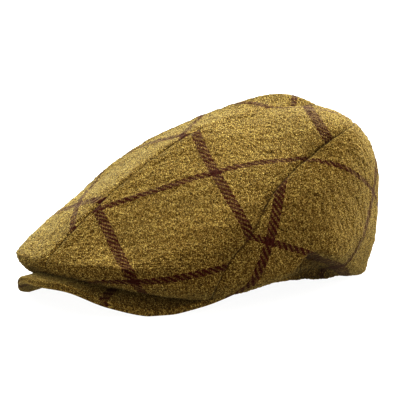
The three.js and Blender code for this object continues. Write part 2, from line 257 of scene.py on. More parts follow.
def shapeTriangles(points):
    # splits a grid of points into triangles and lays each one flat by itself
    tiny = 0.02          # square millimetres, below which a triangle is left out
    rows, cols = points.shape[:2]
    index = np.arange(rows * cols).reshape(rows, cols)
    a, b = index[:-1, :-1].ravel(), index[1:, :-1].ravel()
    c, d = index[1:, 1:].ravel(), index[:-1, 1:].ravel()
    triangles = np.concatenate([np.stack([a, b, c], 1), np.stack([a, c, d], 1)])
    spots = points.reshape(-1, 3)
    edge1 = spots[triangles[:, 1]] - spots[triangles[:, 0]]
    edge2 = spots[triangles[:, 2]] - spots[triangles[:, 0]]
    kept = np.linalg.norm(np.cross(edge1, edge2), axis=1) > tiny
    triangles, edge1, edge2 = triangles[kept], edge1[kept], edge2[kept]
    length = np.linalg.norm(edge1, axis=1)
    alongIt = (edge1 * edge2).sum(1) / length
    upIt = np.sqrt(np.maximum((edge2**2).sum(1) - alongIt**2, 1e-9))
    shapes = np.zeros((len(triangles), 3, 2))
    shapes[:, 1, 0] = length
    shapes[:, 2] = np.stack([alongIt, upIt], 1)
    return triangles, shapes


def triangleSides(shapes):
    # the three sides of the triangles, and how stiffly each is held
    loosest, stiffest = 0.02, 5
    sides = []
    for k in range(3):
        i, j = (k + 1) % 3, (k + 2) % 3
        one, two = shapes[:, i] - shapes[:, k], shapes[:, j] - shapes[:, k]
        stiff = (one * two).sum(1) / np.maximum(np.abs(crossOf(one, two)), 1e-6)
        sides.append((i, j, np.clip(stiff, loosest, stiffest)))
    return sides


def flatten(points):
    # lays a grid of points flat so that each small triangle keeps its size as nearly as it can,
    # which is how the panel would be cut from the cloth
    rounds = 60          # by then the sheet has settled
    openOut = 110        # a point this far below the top starts twice as far out as in the plan view
    triangles, shapes = shapeTriangles(points)
    spots = points.reshape(-1, 3)
    flat = spots[:, :2].copy()
    flat += (flat - flat.mean(0)) * ((spots[:, 2].max() - spots[:, 2]) / openOut)[:, None]
    corner = flat[triangles[:, 0]]
    if crossOf(flat[triangles[:, 1]] - corner, flat[triangles[:, 2]] - corner).sum() < 0:
        shapes[:, 2, 1] *= -1
    sides = triangleSides(shapes)
    count = len(spots)
    system = np.zeros((count, count))
    for i, j, stiff in sides:
        for m, n in ((i, j), (j, i)):
            np.add.at(system, (triangles[:, m], triangles[:, m]), stiff)
            np.add.at(system, (triangles[:, m], triangles[:, n]), -stiff)
    system += np.eye(count) * 1e-7
    inverse = np.linalg.inv(system)
    for step in range(rounds):
        # turn each triangle to lie as it was last placed, then pull the points to fit them all
        placed = flat[triangles]
        spin = np.zeros((len(triangles), 2))
        for i, j, stiff in sides:
            old, new = shapes[:, i] - shapes[:, j], placed[:, i] - placed[:, j]
            spin[:, 0] += stiff * (old * new).sum(1)
            spin[:, 1] += stiff * crossOf(old, new)
        spin /= np.maximum(np.linalg.norm(spin, axis=1, keepdims=True), 1e-9)
        pull = np.zeros((count, 2))
        for i, j, stiff in sides:
            old = shapes[:, i] - shapes[:, j]
            turned = np.stack([spin[:, 0] * old[:, 0] - spin[:, 1] * old[:, 1],
                               spin[:, 1] * old[:, 0] + spin[:, 0] * old[:, 1]], 1)
            np.add.at(pull, triangles[:, i], stiff[:, None] * turned)
            np.add.at(pull, triangles[:, j], -stiff[:, None] * turned)
        flat = inverse @ pull
        flat -= flat.mean(0)
    return flat.reshape(*points.shape[:2], 2)


def smoothGrid(values, u, v):
    # reads a coarse grid smoothly at places from 0 to 1 along each side
    rows, cols = values.shape[:2]

    def taps(at, count):
        x = np.clip(at, 0, 1) * (count - 1)
        low = np.minimum(x.astype(int), count - 2)
        f = x - low
        weights = [(-f + 2 * f * f - f**3) / 2, (2 - 5 * f * f + 3 * f**3) / 2,
                   (f + 4 * f * f - 3 * f**3) / 2, (f**3 - f * f) / 2]
        return [np.clip(low + k - 1, 0, count - 1) for k in range(4)], weights

    rowAt, rowWeight = taps(u, rows)
    colAt, colWeight = taps(v, cols)
    total = 0
    for i in range(4):
        for j in range(4):
            total = total + (rowWeight[i] * colWeight[j])[..., None] * values[rowAt[i], colAt[j]]
    return total


def edgeSpaced(count, tight):
    # places from 0 to 1 that lie closer together near both ends
    t = np.linspace(0, 1, count + 1)
    return t - tight * np.sin(2 * np.pi * t) / (2 * np.pi)


def runLengths(points, axis):
    # how far each grid point is along its row from both ends of the row
    steps = np.linalg.norm(np.diff(points, axis=axis), axis=-1)
    start = np.cumsum(steps, axis=axis)
    start = np.concatenate([np.zeros_like(start.take([0], axis)), start], axis)
    return start, start.take([-1], axis) - start


def waviness(points, seed, length, count=22):
    # a smooth unevenness about 1 high, the same wherever two panels meet
    loosest, tightest = 0.7, 1.4        # how closely the waves follow one another, against the length
    draw = np.random.default_rng(seed)
    total = np.zeros(points.shape[:-1])
    for k in range(count):
        way = draw.normal(size=3)
        way *= draw.uniform(loosest, tightest) * 2 * np.pi / (length * np.linalg.norm(way))
        total += np.sin(points @ way + draw.uniform(0, 2 * np.pi))
    return total / math.sqrt(count / 2)


def addMesh(name, points, faces, weave, node, material):
    mesh = bpy.data.meshes.new(name)
    mesh.from_pydata((points / 1000).tolist(), [], faces)
    mesh.update()
    mesh.shade_smooth()
    spots = mesh.attributes.new("weave", "FLOAT_VECTOR", "POINT")
    spots.data.foreach_set("vector", np.asarray(weave, np.float32).ravel())
    mesh.materials.append(material)
    piece = bpy.data.objects.new(name, mesh)
    bpy.context.scene.collection.objects.link(piece)
    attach(piece, "root")
    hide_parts(node)
    return piece


def gridFaces(index, wrap=False):
    a, b = index[:-1, :-1], index[1:, :-1]
    c, d = index[1:, 1:], index[:-1, 1:]
    if wrap:
        around = np.concatenate([index, index[:, :1]], 1)
        a, b, c, d = around[:-1, :-1], around[1:, :-1], around[1:, 1:], around[:-1, 1:]
    return np.stack([a.ravel(), b.ravel(), c.ravel(), d.ravel()], 1)


# The four cloth panels. Turns are in degrees on the flat panel and shifts in millimetres.
# A give bends, sweeps, fans and crowds the check lines, in millimetres, as steamed cloth gives on
# the bias.
leftTop = {
    "name": "left_top_panel", "seed": 31, "node": "crown_top_left", "side": 1, "kind": "top",
    "cells": (416, 168), "flatCells": (40, 24),
    "warpTurn": -41.1, "warpShift": -1.6, "warpGive": (36.9, -20.4, -6.8, 9.0),
    "weftTurn": 62.8, "weftShift": 84.4, "weftGive": (-6.7, 5.6, -0.7, 0.9),
}
rightTop = {
    "name": "right_top_panel", "seed": 32, "node": "crown_top_right", "side": -1, "kind": "top",
    "cells": (416, 168), "flatCells": (40, 24),
    "warpTurn": 40.9, "warpShift": 15.9, "warpGive": (-1.1, 2.4, -1.3, 0),
    "weftTurn": 85.9, "weftShift": 53.4, "weftGive": (0, 0, 0, 0),
}
leftBand = {
    "name": "left_side_panel", "seed": 33, "node": "side_band_left", "side": 1, "kind": "band",
    "cells": (400, 132), "flatCells": (44, 16),
    "warpTurn": 25.7, "warpShift": -17.1, "warpGive": (-1.6, 0.8, 32.8, -7.7),
    "weftTurn": 110.9, "weftShift": 59.5, "weftGive": (-7.3, 10.6, 0.9, -8),
}
rightBand = {
    "name": "right_side_panel", "seed": 34, "node": "side_band_right", "side": -1, "kind": "band",
    "cells": (400, 132), "flatCells": (44, 16),
    "warpTurn": -22.7, "warpShift": 18.2, "warpGive": (0, 0, 0, 0),
    "weftTurn": 67.2, "weftShift": 59.4, "weftGive": (0, 0, 0, 0),
}

# How the cloth of every panel is finished, in millimetres apart from the counts and shares.
clothFinish = {
    "alongTight": 0.45,     # how much closer the cells are near a panel's edges
    "acrossTight": 0.6,
    "seamDeep": 1.0,        # how far the cloth rolls into a seam, and over what width
    "seamWide": 1.3,
    "seamPower": 1.5,
    "allowanceHigh": 0.5,   # the turned-in edges lift the cloth a little beside each seam
    "allowanceWide": 7.5,
    "allowanceSoft": 0.8,
    "puckerHigh": 0.14,     # small pulls across the seams
    "puckerLong": 7.5,
    "puckerReach": 5.0,
    "waveHigh": 0.3,        # slow unevenness of the whole crown
    "waveLong": 60.0,
    "rippleHigh": 0.16,
    "rippleLong": 15.0,
    "insideShare": 0.8,     # how much of the unevenness the inside follows
    "insideCalm": 3.0,      # the inside is even this close to a seam or the hem
    "insideEvery": 4,       # the inside is this many times coarser
    "hemHigh": 1.0,         # the edge turned up inside
    "hemWide": 20.0,
    "hemSoft": 0.5,
    "foldSteps": 6,         # the free edge is folded round in this many steps
    "nubHigh": 0.2,         # the nubby face of the tweed, which stops short of the seams
    "nubFrom": 0.4,
    "nubOver": 2.0,
    "seamDark": 0.6,        # how far the cloth is in shadow beside a seam
    "hemWorn": 0.2,         # the hem is worn paler, this much and this far in
    "hemWornWide": 3.0,
}


# The tuck low on the rear of each side: behind a fold the hem is pulled in under a crease that
# runs down to the back. The cloth in front of the fold stands out, and so does the cloth over it.
rearTuck = {
    "foldTop": (84, 0.825), "foldFoot": (71.5, 1.0),     # direction and share of the fold's two ends
    "foldRound": 1.2,       # degrees
    "creaseColumns": ("direction", "share"),
    "creaseRows": [(76, 0.80), (85, 0.822), (93, 0.851), (101, 0.884), (115, 0.932), (124, 0.962),
                   (134, 0.985), (150, 1.01)],
    "creaseRound": 0.006,   # share
    "deepLeft": 13.0, "deepRight": 7.0,     # millimetres
    "sink": 0.05,           # how far the tucked cloth drops, against its depth
    "fadeFrom": 140, "fadeSoft": 3.5,       # the tuck ends here, towards the centre back
    "tuckShade": 0.75, "tuckShadeRise": 1.5,    # painted shade on the tucked cloth: how much darker it is, and how soon
    # the ridge in front of the fold: millimetres out, degrees ahead of it and wide, and the share
    # over which it starts
    "ridgeHigh": 2.6, "ridgeAhead": 3, "ridgeWide": 7.0, "ridgeStart": 0.08,
    # the cloth over the crease hangs out this far and this way: it starts this share above the
    # crease and between these directions
    "hangLeft": 8.0, "hangRight": 5.0, "hangTurn": 48, "hangAbove": 0.17, "hangStart": (82, 100),
}


def smoothStep(low, high, at):
    f = np.clip((at - low) / (high - low), 0, 1)
    return f * f * (3 - 2 * f)


def tuckShift(p, q, side, normal):
    # how far each place moves, across and down
    spec = rearTuck
    direction, share = np.degrees(np.arctan2(p, -q)), np.hypot(p, q)
    (topTurn, topShare), (footTurn, footShare) = spec["foldTop"], spec["foldFoot"]
    foldAt = topTurn + (share - topShare) / (footShare - topShare) * (footTurn - topTurn)
    creaseAt = smoothRows(spec["creaseColumns"], spec["creaseRows"], "share", direction)
    behind = 1 / (1 + np.exp(-(direction - foldAt) / spec["foldRound"]))
    under = 1 / (1 + np.exp(-(share - creaseAt) / spec["creaseRound"]))
    fade = 1 / (1 + np.exp((direction - spec["fadeFrom"]) / spec["fadeSoft"]))
    ridge = np.exp(-((direction - foldAt + spec["ridgeAhead"]) / spec["ridgeWide"]) ** 2) * (1 - behind)
    ridge *= np.clip((share - topShare + spec["ridgeStart"] / 2) / spec["ridgeStart"], 0, 1)
    deep = (spec["deepLeft"] if side > 0 else spec["deepRight"]) * behind * under * fade
    hang = (spec["hangLeft"] if side > 0 else spec["hangRight"]) * (1 - under) * fade
    hang = hang * smoothStep(-spec["hangAbove"], 0, share - creaseAt)
    hang = hang * smoothStep(*spec["hangStart"], direction)
    shift = normal * [1, 1, 0] * (spec["ridgeHigh"] * ridge - deep)[..., None]
    turn = math.radians(spec["hangTurn"])
    shift += hang[..., None] * np.array([side * math.sin(turn), -math.cos(turn), 0])
    shift[..., 2] -= spec["sink"] * deep
    return shift


def panelDisc(spec, u, v):
    return (topPatch if spec["kind"] == "top" else bandPatch)(u, v)


def panelPoints(spec, u, v):
    disc = panelDisc(spec, u, v)
    p, q = np.maximum(disc[..., 0], 0), disc[..., 1]
    return discPoint(p, q, spec["side"]), discNormal(p, q, spec["side"])


def flatPanel(spec):
    # the panel laid flat: its coarse grid, its size and its area
    rows, cols = spec["flatCells"]
    u, v = np.meshgrid(np.linspace(0, 1, rows + 1), np.linspace(0, 1, cols + 1), indexing="ij")
    flat = flatten(panelPoints(spec, u, v)[0])
    area = np.abs(crossOf(flat[1:, 1:] - flat[:-1, :-1], flat[1:, :-1] - flat[:-1, 1:])).sum() / 2
    return flat, np.ptp(flat.reshape(-1, 2), axis=0), area


def straightAcross(spec, flat):
    # how far across the warp stripes and across the weft stripes each place on flat cloth lies
    places = []
    for thread in ("warp", "weft"):
        turn = math.radians(spec[thread + "Turn"])
        across = flat[..., 0] * math.cos(turn) + flat[..., 1] * math.sin(turn)
        places.append(across + spec[thread + "Shift"])
    return places


def givenAcross(spec, flat):
    # the same once the cloth has given, with the amounts counted at 100 mm
    warp, weft = straightAcross(spec, flat)
    places = []
    for thread, across, along in (("warp", warp, weft), ("weft", weft, warp)):
        bend, sweep, fan, crowd = spec[thread + "Give"]
        a, b = along / 100, across / 100
        places.append(across + bend * a**2 + sweep * a**3 + fan * a * b + crowd * b**2)
    return places


def edgeDistances(spec, base):
    # how far each place is from the nearest seam, and from the free edge with its hem
    fromStart, fromEnd = runLengths(base, 0)
    fromNear, fromFar = runLengths(base, 1)
    if spec["kind"] == "top":
        return np.minimum.reduce([fromNear, fromFar, fromEnd]), fromStart
    return np.minimum(fromNear, fromEnd), fromFar


def clothSides(spec, base, normal, seam, hem):
    # the outer and the inner side of the cloth, with its rolled seams, puckers, waves and nubs
    finish = clothFinish
    groove = np.exp(-((seam / finish["seamWide"]) ** finish["seamPower"]))
    ease = 1 / (1 + np.exp((seam - finish["allowanceWide"]) / finish["allowanceSoft"]))
    pull = np.exp(-seam / finish["puckerReach"]) * (1 - groove)
    lift = (finish["waveHigh"] * waviness(base, 11, finish["waveLong"])
            + finish["rippleHigh"] * waviness(base, 12, finish["rippleLong"])
            + finish["puckerHigh"] * pull * waviness(base, 13, finish["puckerLong"])
            + finish["allowanceHigh"] * ease - finish["seamDeep"] * groove)
    # the inside lies one thickness in, and more where the edge is turned up
    turnedUp = 1 / (1 + np.exp((hem - finish["hemWide"]) / finish["hemSoft"]))
    calm = np.clip(seam / finish["insideCalm"], 0, 1)
    hemCalm = np.clip(hem / finish["insideCalm"], 0, 1) * calm
    deep = capShape["clothThick"] + finish["hemHigh"] * turnedUp * hemCalm
    inner = base + normal * (lift * calm * finish["insideShare"] - deep)[..., None]
    nubby = np.clip((seam - finish["nubFrom"]) / finish["nubOver"], 0, 1)
    lift = lift + finish["nubHigh"] * nubs(lift.shape, spec["seed"]) * nubby
    return base + normal * lift[..., None], inner


def hemLine(spec, grid, inward=0):
    # the row along a panel's free edge, or a row further in
    return grid[inward] if spec["kind"] == "top" else grid[:, -1 - inward]


def hemFold(spec, base, outer, inner):
    # the free edge is a round fold from the outer side to the inner one
    foldOut, foldIn = hemLine(spec, outer), hemLine(spec, inner)
    outward = hemLine(spec, base) - hemLine(spec, base, 1)
    outward /= np.maximum(np.linalg.norm(outward, axis=-1, keepdims=True), 1e-6)
    middle, reach = (foldOut + foldIn) / 2, (foldOut - foldIn) / 2
    half = capShape["clothThick"] / 2
    bends = np.arange(1, clothFinish["foldSteps"]) * np.pi / clothFinish["foldSteps"]
    return np.stack([middle + reach * math.cos(bend) + outward * (half * math.sin(bend))
                     for bend in bends], 1)


def numberPoints(parts):
    # gives each part's points the numbers that they have when the parts follow one another
    numbered, count = [], 0
    for part in parts:
        size = part[..., 0].size
        numbered.append(count + np.arange(size).reshape(part.shape[:2]))
        count += size
    return numbered


def panelFaces(spec, outside, inside, fold):
    # both sides, the fold, and the walls along the seams
    strip = np.concatenate([hemLine(spec, outside)[:, None], fold], 1)
    faces = [*gridFaces(outside).tolist(), *gridFaces(inside).tolist(), *gridFaces(strip).tolist()]
    walls = [(outside[:, 0], inside[:, 0]), (outside[-1], inside[-1])]
    if spec["kind"] == "top":
        walls += [(outside[:, -1], inside[:, -1]), (fold[:, -1], inside[0])]
    else:
        walls += [(fold[:, -1], inside[:, -1]), (outside[0], inside[0])]
    for fine, coarse in walls:
        faces += wallFaces(fine, coarse, clothFinish["insideEvery"])
    for end in (0, -1):
        faces.append([*strip[end].tolist(), int(hemLine(spec, inside)[end])])
    return faces


def wearAndShadeShare(seam, hem, sunk):
    # above nought where the cloth is worn pale at the hem, below it where painted shade darkens it beside
    # each seam and on the tucked cloth
    finish = clothFinish
    wearAndShade = finish["hemWorn"] * np.exp(-hem / finish["hemWornWide"])
    # painted shade beside each seam
    wearAndShade = wearAndShade - np.exp(-((seam / finish["seamDark"]) ** 2))
    # painted shade on the cloth tucked in under the crease, growing with how far it is sunk
    tuckShadeMask = np.clip(sunk / rearTuck["deepLeft"] * rearTuck["tuckShadeRise"], 0, 1)
    return wearAndShade - rearTuck["tuckShade"] * tuckShadeMask


def buildPanel(spec, material):
    alongCells, acrossCells = spec["cells"]
    u, v = np.meshgrid(edgeSpaced(alongCells, clothFinish["alongTight"]),
                       edgeSpaced(acrossCells, clothFinish["acrossTight"]), indexing="ij")
    base, normal = panelPoints(spec, u, v)
    disc = panelDisc(spec, u, v)
    seam, hem = edgeDistances(spec, base)
    outer, inner = clothSides(spec, base, normal, seam, hem)
    tuck = tuckShift(disc[..., 0], disc[..., 1], spec["side"], normal)
    outer, inner = outer + tuck, inner + tuck
    every = clothFinish["insideEvery"]
    parts = [outer, inner[::every, ::every], hemFold(spec, base, outer, inner)]
    faces = panelFaces(spec, *numberPoints(parts))
    points = np.concatenate([part.reshape(-1, 3) for part in parts])
    points[:, 2] = np.maximum(points[:, 2], 0)
    # the cloth is cut from the flat panel, so that is where its threads are laid out
    flat, flatSize, flatArea = flatPanel(spec)
    places = givenAcross(spec, smoothGrid(flat, u, v))
    # the third place holds the hem's wear and the painted shade by the seams and in the tuck
    weave = np.stack([*places, wearAndShadeShare(seam, hem, -(tuck * normal).sum(-1))], -1)
    foldWeave = np.repeat(hemLine(spec, weave)[:, None], parts[2].shape[1], 1)
    weave = np.concatenate([part.reshape(-1, 3) for part in (weave, weave[::every, ::every], foldWeave)])
    piece = addMesh(spec["name"], points, faces, weave, spec["node"], material)
    tidyMesh(piece)
    print(spec["name"], "flat", flatSize.round(), "area", round(flatArea / 100), "cm2")


def nubs(shape, seed):
    # small lumps about two cells across
    lumps = np.random.default_rng(seed).normal(size=(shape[0] + 2, shape[1] + 2))
    lumps = lumps[:-2] + 2 * lumps[1:-1] + lumps[2:]
    lumps = lumps[:, :-2] + 2 * lumps[:, 1:-1] + lumps[:, 2:]
    return lumps / 6


def wallFaces(outerEdge, innerEdge, every):
    # closes the side between a fine edge and a coarser one
    return [[*outerEdge[k * every:(k + 1) * every + 1].tolist(), int(innerEdge[k + 1]), int(innerEdge[k])]
            for k in range(len(innerEdge) - 1)]


def tidyMesh(piece):
    # joins the points that fall together at a panel's tip and turns every face outwards
    work = bmesh.new()
    work.from_mesh(piece.data)
    touching = 0.00001      # metres
    bmesh.ops.remove_doubles(work, verts=work.verts, dist=touching)
    bmesh.ops.dissolve_degenerate(work, edges=work.edges, dist=touching / 2)
    bmesh.ops.recalc_face_normals(work, faces=work.faces)
    work.to_mesh(piece.data)
    work.free()


# The peak: a stiff board covered in the same cloth, round at its edge with a seam along it.
peakShape = {
    "peakThick": 5.2,
    "peakBow": 1.2,         # how far the board arches between its inner and outer edges
    "endTaper": 0.5,        # share of the thickness lost at the two ends
    "taperPower": 8,
    "endBulge": 1.6,        # how far the rounded ends reach out
    # one row for each turn from the front: the lower outer edge, the upper inner edge, and how much
    # lower the right side lies
    "columns": ("turn", "outX", "outY", "lowZ", "inX", "inY", "topZ", "rightDrop"),
    "rows": [
        (0, 0, -143.4, 15.9, 0, -70, 29, 0), (20, 25.3, -138, 15.1, 24, -68, 26.5, 1.6),
        (40, 46.8, -122.5, 6.5, 42, -64, 22, 3.3), (60, 61.9, -93.5, -0.5, 58, -56, 17, 1),
        (75, 73.4, -67, 3.1, 68, -48, 13.5, 0), (90, 79.6, -45, 6.5, 72, -42, 12, 0),
    ],
    "alongCells": 260, "acrossCells": 56, "edgeCells": 26, "endCells": 6,
    "acrossTight": 0.35,
    # the seam along the edge, in degrees down from the top, lower towards the ends
    "seamTurn": 80, "seamTurnMore": 60,
    "seamDeep": 1.1, "seamWide": 0.75, "seamPower": 1.3,
    "swellHigh": 0.35, "swellAway": 2.2, "swellWide": 1.2,      # the cloth swells beside the seam
    "waveHigh": 0.22, "waveLong": 26, "rippleHigh": 0.08, "rippleLong": 9,
    "evenEdge": 0.05,       # share of the way in over which the unevenness starts
    "warpTurn": 20, "warpShift": 0, "weftTurn": 110, "weftShift": -16,
    "aimCells": 5,          # the cloth goes on round the edge the way it runs over these last cells
}


def peakColumn(name, turn):
    odd = name in ("outX", "inX")
    value = smoothRows(peakShape["columns"], peakShape["rows"], name, np.abs(turn), not odd)
    if name == "lowZ":
        drop = smoothRows(peakShape["columns"], peakShape["rows"], "rightDrop", np.abs(turn), True)
        value = value - np.where(turn < 0, drop, 0)
    return value * np.sign(turn) if odd else value


def peakSides(spec, turn):
    # the top, the rounded edge and the underside, each as rows of points across the peak
    up = np.array([0, 0, 1])
    taper = spec["endTaper"] * (np.abs(turn) / 90) ** spec["taperPower"]
    thick = spec["peakThick"] * (1 - taper)[..., None]
    half = thick / 2
    out = np.stack([peakColumn("outX", turn), peakColumn("outY", turn), peakColumn("lowZ", turn)], -1)
    inner = np.stack([peakColumn("inX", turn), peakColumn("inY", turn),
                      peakColumn("topZ", turn) - spec["peakThick"]], -1)
    outward = (out - inner) * [1, 1, 0]
    outward /= np.linalg.norm(outward, axis=-1, keepdims=True)
    out = out + up * (spec["peakThick"] - thick)
    inner = inner + up * (spec["peakThick"] - thick)
    across = edgeSpaced(spec["acrossCells"], spec["acrossTight"])[None, :, None]
    low = inner + (out - inner) * across - outward * half * across
    low = low + up * (spec["peakBow"] * 4 * across * (1 - across))
    top = low + up * thick
    bend = np.linspace(0, np.pi, spec["edgeCells"] + 1)[None, 1:-1, None]
    seamAt = np.radians(spec["seamTurn"] + spec["seamTurnMore"] * np.sin(np.radians(turn)) ** 2)
    gap = np.abs(bend - seamAt[..., None]) * half
    pinch = spec["seamDeep"] * np.exp(-((gap / spec["seamWide"]) ** spec["seamPower"]))
    swell = spec["swellHigh"] * np.exp(-((gap - spec["swellAway"]) / spec["swellWide"]) ** 2)
    radius = half - pinch + swell
    edge = low[:, -1:] + outward * (radius * np.sin(bend)) + up * (half + radius * np.cos(bend))
    lift = (spec["waveHigh"] * waviness(top, 21, spec["waveLong"])
            + spec["rippleHigh"] * waviness(top, 22, spec["rippleLong"]))
    top[..., 2] += lift * np.clip((1 - across[..., 0]) / spec["evenEdge"], 0, 1)
    return top, edge, low


def roundEnds(spec, loop):
    # carries the loops of points on past both ends of the peak, each smaller than the last
    centre = loop.mean(1, keepdims=True)
    rings = [loop]
    for k in range(1, spec["endCells"]):
        shrink = math.sqrt(1 - (k / spec["endCells"]) ** 2)
        for end, beside in ((0, 1), (-1, -2)):
            ring = centre[end] + (loop[end] - centre[end]) * shrink
            reach = (loop[end] - loop[beside]).mean(0)
            reach /= np.linalg.norm(reach)
            ring = (ring + reach * (spec["endBulge"] * k / spec["endCells"]))[None]
            rings = [ring, *rings] if end == 0 else [*rings, ring]
    return np.concatenate(rings)


def peakPlaces(spec, loops, topCount, edgeCount):
    # where each place lies on the cloth: the plan view on both faces, carried on round the edge
    flat = loops[..., :2].copy()
    stepLengths = np.linalg.norm(np.diff(loops, axis=1), axis=-1)
    way = flat[:, topCount - 1] - flat[:, topCount - 1 - spec["aimCells"]]
    way /= np.maximum(np.linalg.norm(way, axis=-1, keepdims=True), 1e-6)
    for k in range(edgeCount):
        if k <= edgeCount // 2:
            at, span = topCount - 1, stepLengths[:, topCount - 1:topCount + k].sum(1)
        else:
            at, span = topCount + edgeCount, stepLengths[:, topCount + k:topCount + edgeCount].sum(1)
        flat[:, topCount + k] = loops[:, at, :2] + way * span[:, None]
    return straightAcross(spec, flat)


def buildPeak(material):
    spec = peakShape
    turn = np.linspace(-90, 90, spec["alongCells"] + 1)[:, None]
    top, edge, low = peakSides(spec, turn)
    loops = roundEnds(spec, np.concatenate([top, edge, low[:, ::-1]], 1))
    loops[..., 1] += capShape["frameShift"]
    loops[..., 2] = np.maximum(loops[..., 2], 0)
    index = np.arange(loops[..., 0].size).reshape(loops.shape[:2])
    faces = gridFaces(index, wrap=True).tolist()
    faces += [index[0].tolist(), index[-1][::-1].tolist()]
    # no wear and no painted shade on the peak
    noWearNoShade = np.zeros(loops.shape[:2])
    weave = np.stack([*peakPlaces(spec, loops, top.shape[1], edge.shape[1]), noWearNoShade], -1)
    piece = addMesh("peak_cover", loops.reshape(-1, 3), faces, weave, "peak", material)
    tidyMesh(piece)


# The cloth: heathered wool in a two over, two under twill, with a dark line check.
woolCheck = {
    "yarnWide": 1.15,         # millimetres
    "warpRepeat": 66,         # yarns from one check line to the next
    "weftRepeat": 72,
    "warpLine": 4,            # yarns in each check line
    "weftLine": 6,
    "lineDark": (0.0105, 0.0004, 0.0004),
    "lineLight": (0.065, 0.0036, 0.0022),
    "lineFelt": 0.45,         # how much of a check line shows through the yarns that cross it
    "strayScale": 1.7,        # scales of unevenness are per millimetre
    "stray": 0.5,
    "heather": [(0.22, (0.018, 0.0080, 0.0010)), (0.42, (0.073, 0.0350, 0.0037)),
                (0.58, (0.148, 0.087, 0.0130)), (0.82, (0.430, 0.345, 0.125))],
    # what the heather's tone is made of: the spinning, tufts, single yarns and fine fibres
    "spinAside": 3.17,
    "spinAlong": 0.8,
    "spun": 0.9,
    "tuftScale": 0.55,
    "tuft": 0.4,
    "tuftLow": -0.15,
    "yarnFleck": 0.08,
    "fibreScale": 1.8,
    "fibreFleck": 1.76,
    # how much the hem's wear and the painted shade by the seams and in the tuck change the tone
    "wearAndShadeStrength": 0.2,
    "mottleScale": 26.0,      # per metre
    "mottle": 0.16,
    "wobbleScale": 0.22,
    "wobble": 0.5,            # millimetres
    "roughness": (0.85, 1.0),
    "specular": 0.06,
    "sheen": 0.1,
    "sheenRoughness": 0.5,
    "sheenTint": (0.9, 0.95, 0.5, 1),
    "yarnHigh": 0.22,         # millimetres
    "bumpShare": 0.8,
    "napScale": 2.6,
    "nap": 1.6,
}


def nodeTools(tree):
    # short ways to add and join the nodes of one material
    def add(kind, inputs=None, **settings):
        node = tree.nodes.new(kind)
        for key, value in settings.items():
            setattr(node, key, value)
        for key, value in (inputs or {}).items():
            if isinstance(value, bpy.types.NodeSocket):
                tree.links.new(value, node.inputs[key])
            else:
                node.inputs[key].default_value = value
        return node

    def calc(operation, *values, clamp=False):
        inputs = dict(enumerate(values))
        return add("ShaderNodeMath", inputs, operation=operation, use_clamp=clamp).outputs[0]

    def blend(factor, a, b):
        return add("ShaderNodeMix", {0: factor, 2: a, 3: b}).outputs[0]

    def blendColour(factor, a, b, kind="MIX"):
        node = add("ShaderNodeMix", {0: factor, 6: a, 7: b}, data_type="RGBA", blend_type=kind)
        return node.outputs[2]

    def place(x, y, z=0.0):
        return add("ShaderNodeCombineXYZ", {0: x, 1: y, 2: z}).outputs[0]

    def noise(vector, scale, detail, roughness=0.55):
        inputs = {"Vector": vector, "Scale": scale, "Detail": detail, "Roughness": roughness}
        return add("ShaderNodeTexNoise", inputs).outputs["Fac"]

    return SimpleNamespace(add=add, calc=calc, blend=blend, blendColour=blendColour, place=place,
                           noise=noise)


def layYarns(nodes, spec, weave):
    # which warp and weft yarn cross at each place and which is on top. The yarns wander a little.
    calc = nodes.calc
    split = nodes.add("ShaderNodeSeparateXYZ", {0: weave}).outputs
    drift = calc("SUBTRACT", nodes.noise(weave, spec["wobbleScale"], 2.0), 0.5)
    warpAt = calc("DIVIDE", calc("MULTIPLY_ADD", drift, spec["wobble"] * 2, split[0]), spec["yarnWide"])
    weftAt = calc("DIVIDE", calc("MULTIPLY_ADD", drift, -spec["wobble"] * 2, split[1]), spec["yarnWide"])
    warp, weft = calc("FLOOR", warpAt), calc("FLOOR", weftAt)
    # two over, two under, one step aside on each yarn
    step = calc("FLOORED_MODULO", calc("SUBTRACT", weft, warp), 4.0)
    return SimpleNamespace(warpAt=warpAt, weftAt=weftAt, warp=warp, weft=weft, step=step,
                           weftOver=calc("LESS_THAN", step, 1.5))


def checkLines(nodes, spec, weave, yarns):
    # how much of a dark check line shows at each place
    calc = nodes.calc
    lines = []
    for thread, yarn in (("warp", yarns.warp), ("weft", yarns.weft)):
        wide, repeat = spec[thread + "Line"], spec[thread + "Repeat"]
        inRepeat = calc("FLOORED_MODULO", calc("ADD", yarn, wide / 2), float(repeat))
        lines.append(calc("LESS_THAN", inRepeat, wide - 0.5))
    topLine = nodes.blend(yarns.weftOver, *lines)
    line = nodes.blend(spec["lineFelt"], topLine, calc("MAXIMUM", *lines))
    # fibres stray over the edges of the dark yarns
    stray = nodes.noise(weave, spec["strayScale"], 3.0)
    stray = calc("MULTIPLY_ADD", stray, spec["stray"], -spec["stray"] / 2)
    return calc("MULTIPLY", line, calc("SUBTRACT", 1.0, calc("MAXIMUM", stray, 0.0)), clamp=True)


